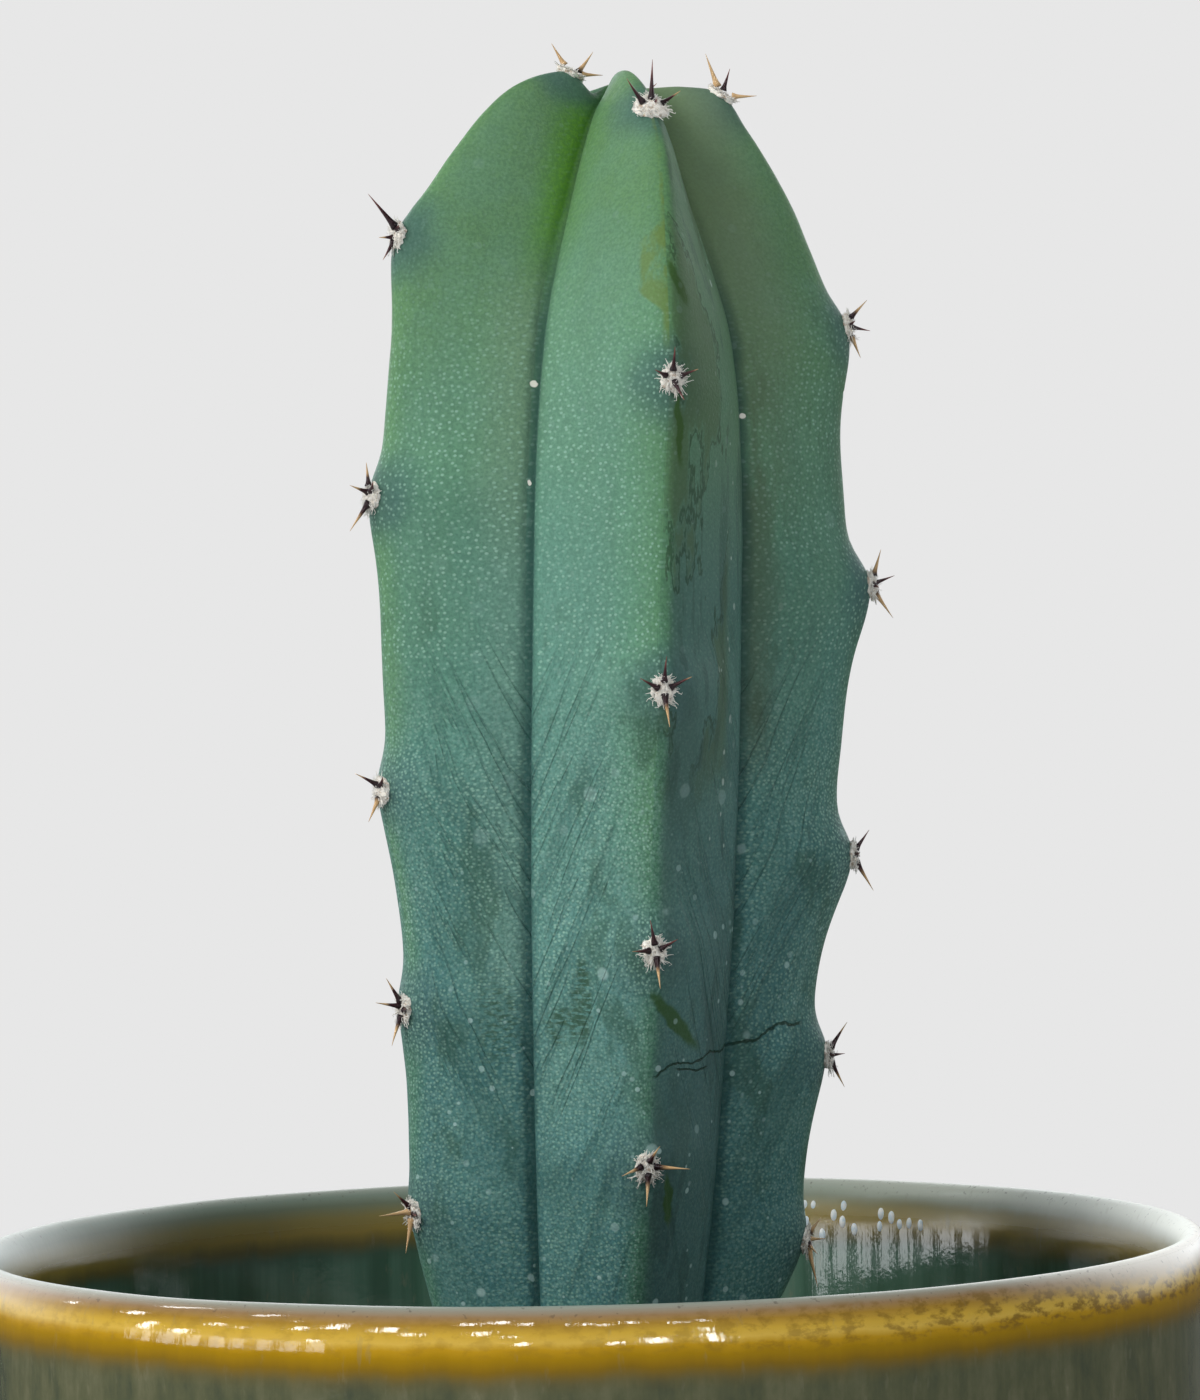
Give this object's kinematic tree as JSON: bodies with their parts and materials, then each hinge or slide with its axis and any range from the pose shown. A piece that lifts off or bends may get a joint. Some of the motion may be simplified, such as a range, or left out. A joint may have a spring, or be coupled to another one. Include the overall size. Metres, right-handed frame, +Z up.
{
  "type": "potted tall cactus",
  "caption": "Columnar ribbed cactus with woolly spined areoles along its ribs, in a straight round glazed ceramic pot filled with potting mix.",
  "frame": {"origin": "centre of the pot's foot, on the surface it stands on", "axes": "+Z up along the pot's axis, front of the plant towards -Y, +X to the right as seen from the front"},
  "size_m": [0.15, 0.15, 0.282],
  "materials": {
    "glaze": "gloss",
    "skin": "satin",
    "mix": "matte",
    "wool": "matte"
  },
  "bodies": {
    "root": {"pot": "glaze", "soil": "mix", "stem": "skin", "areole_front_1": "wool", "areole_front_2": "wool", "areole_front_3": "wool", "areole_front_4": "wool", "areole_front_5": "wool", "areole_left_1": "wool", "areole_left_2": "wool", "areole_left_3": "wool", "areole_left_4": "wool", "areole_left_5": "wool", "areole_left_6": "wool", "areole_right_1": "wool", "areole_right_2": "wool", "areole_right_3": "wool", "areole_right_4": "wool", "areole_right_5": "wool", "areole_right_6": "wool", "areole_back_left_1": "wool", "areole_back_left_2": "wool", "areole_back_left_3": "wool", "areole_back_left_4": "wool", "areole_back_left_5": "wool", "areole_back_left_6": "wool", "areole_back_right_1": "wool", "areole_back_right_2": "wool", "areole_back_right_3": "wool", "areole_back_right_4": "wool", "areole_back_right_5": "wool", "areole_back_right_6": "wool"}
  },
  "joints": []
}
